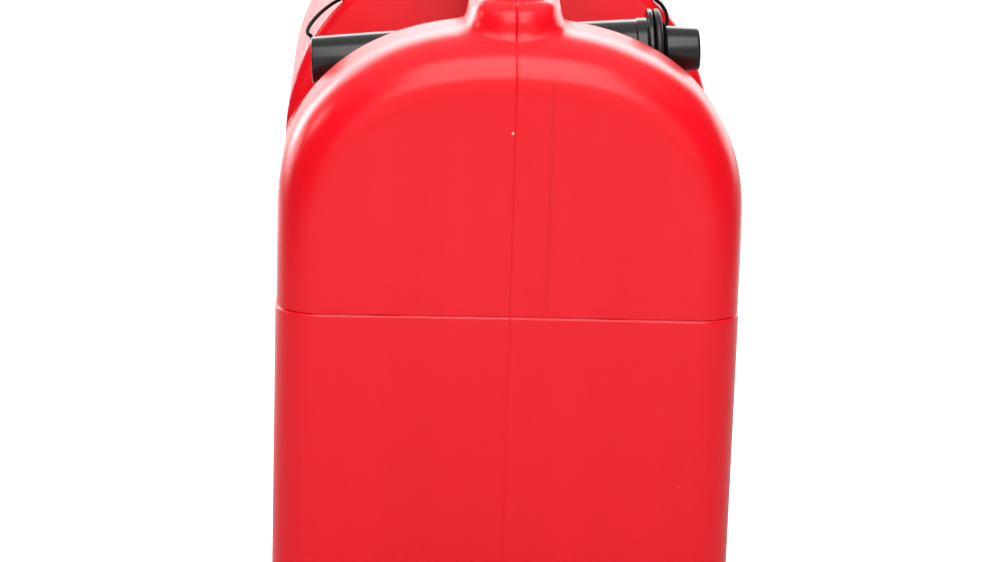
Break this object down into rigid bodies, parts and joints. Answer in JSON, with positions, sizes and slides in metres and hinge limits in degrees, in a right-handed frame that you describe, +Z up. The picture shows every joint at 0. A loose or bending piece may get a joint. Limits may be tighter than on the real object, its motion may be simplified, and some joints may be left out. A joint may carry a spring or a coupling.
{
  "type": "jerry can",
  "caption": "Moulded plastic fuel can with a bridge handle, screw-capped filler neck and a pouring spout stored crosswise in a trough.",
  "frame": {"origin": "on the ground under the middle of the base", "axes": "+X across the can to the spout's stub end, +Y from the rear end to the filler end, +Z up"},
  "size_m": [0.2, 0.33, 0.396],
  "materials": {
    "red_polyethylene": "satin blow-moulded surface",
    "black_plastic": "semi-matt moulded",
    "black_rubber": "smooth rubber",
    "strainer_steel": "woven wire",
    "cord_elastic": "smooth elastic cord"
  },
  "bodies": {
    "can": {"can_body": "red_polyethylene", "retaining_cord": "cord_elastic", "cord_plug": "black_rubber"},
    "cap_seal": {"closing_disc": "black_plastic", "cap_gasket": "black_rubber"},
    "cap_screw": {"cap_ring": "black_plastic"},
    "spout": {"spout_tube": "black_plastic", "spout_gasket": "black_rubber", "spout_strainer": "strainer_steel", "cord_ferrule": "black_plastic"}
  },
  "joints": [
    {"name": "cap_lift", "type": "slide", "parent": "can", "child": "cap_seal", "axis": [0, 0, 1], "range_m": [0, 0.024]},
    {"name": "cap_turn", "type": "hinge", "parent": "cap_seal", "child": "cap_screw", "pos_m": [0, 0.085, 0.375], "axis": [0, 0, 1], "range_deg": [0, 1450]},
    {"name": "spout_draw", "type": "slide", "parent": "can", "child": "spout", "axis": [0.9986, 0, 0.0523], "range_m": [0, 0.19], "deforming": ["retaining_cord"]}
  ],
  "couplings": [
    {"joint": "cap_turn", "follows": "cap_lift", "rad_per_m": 1047.2}
  ]
}
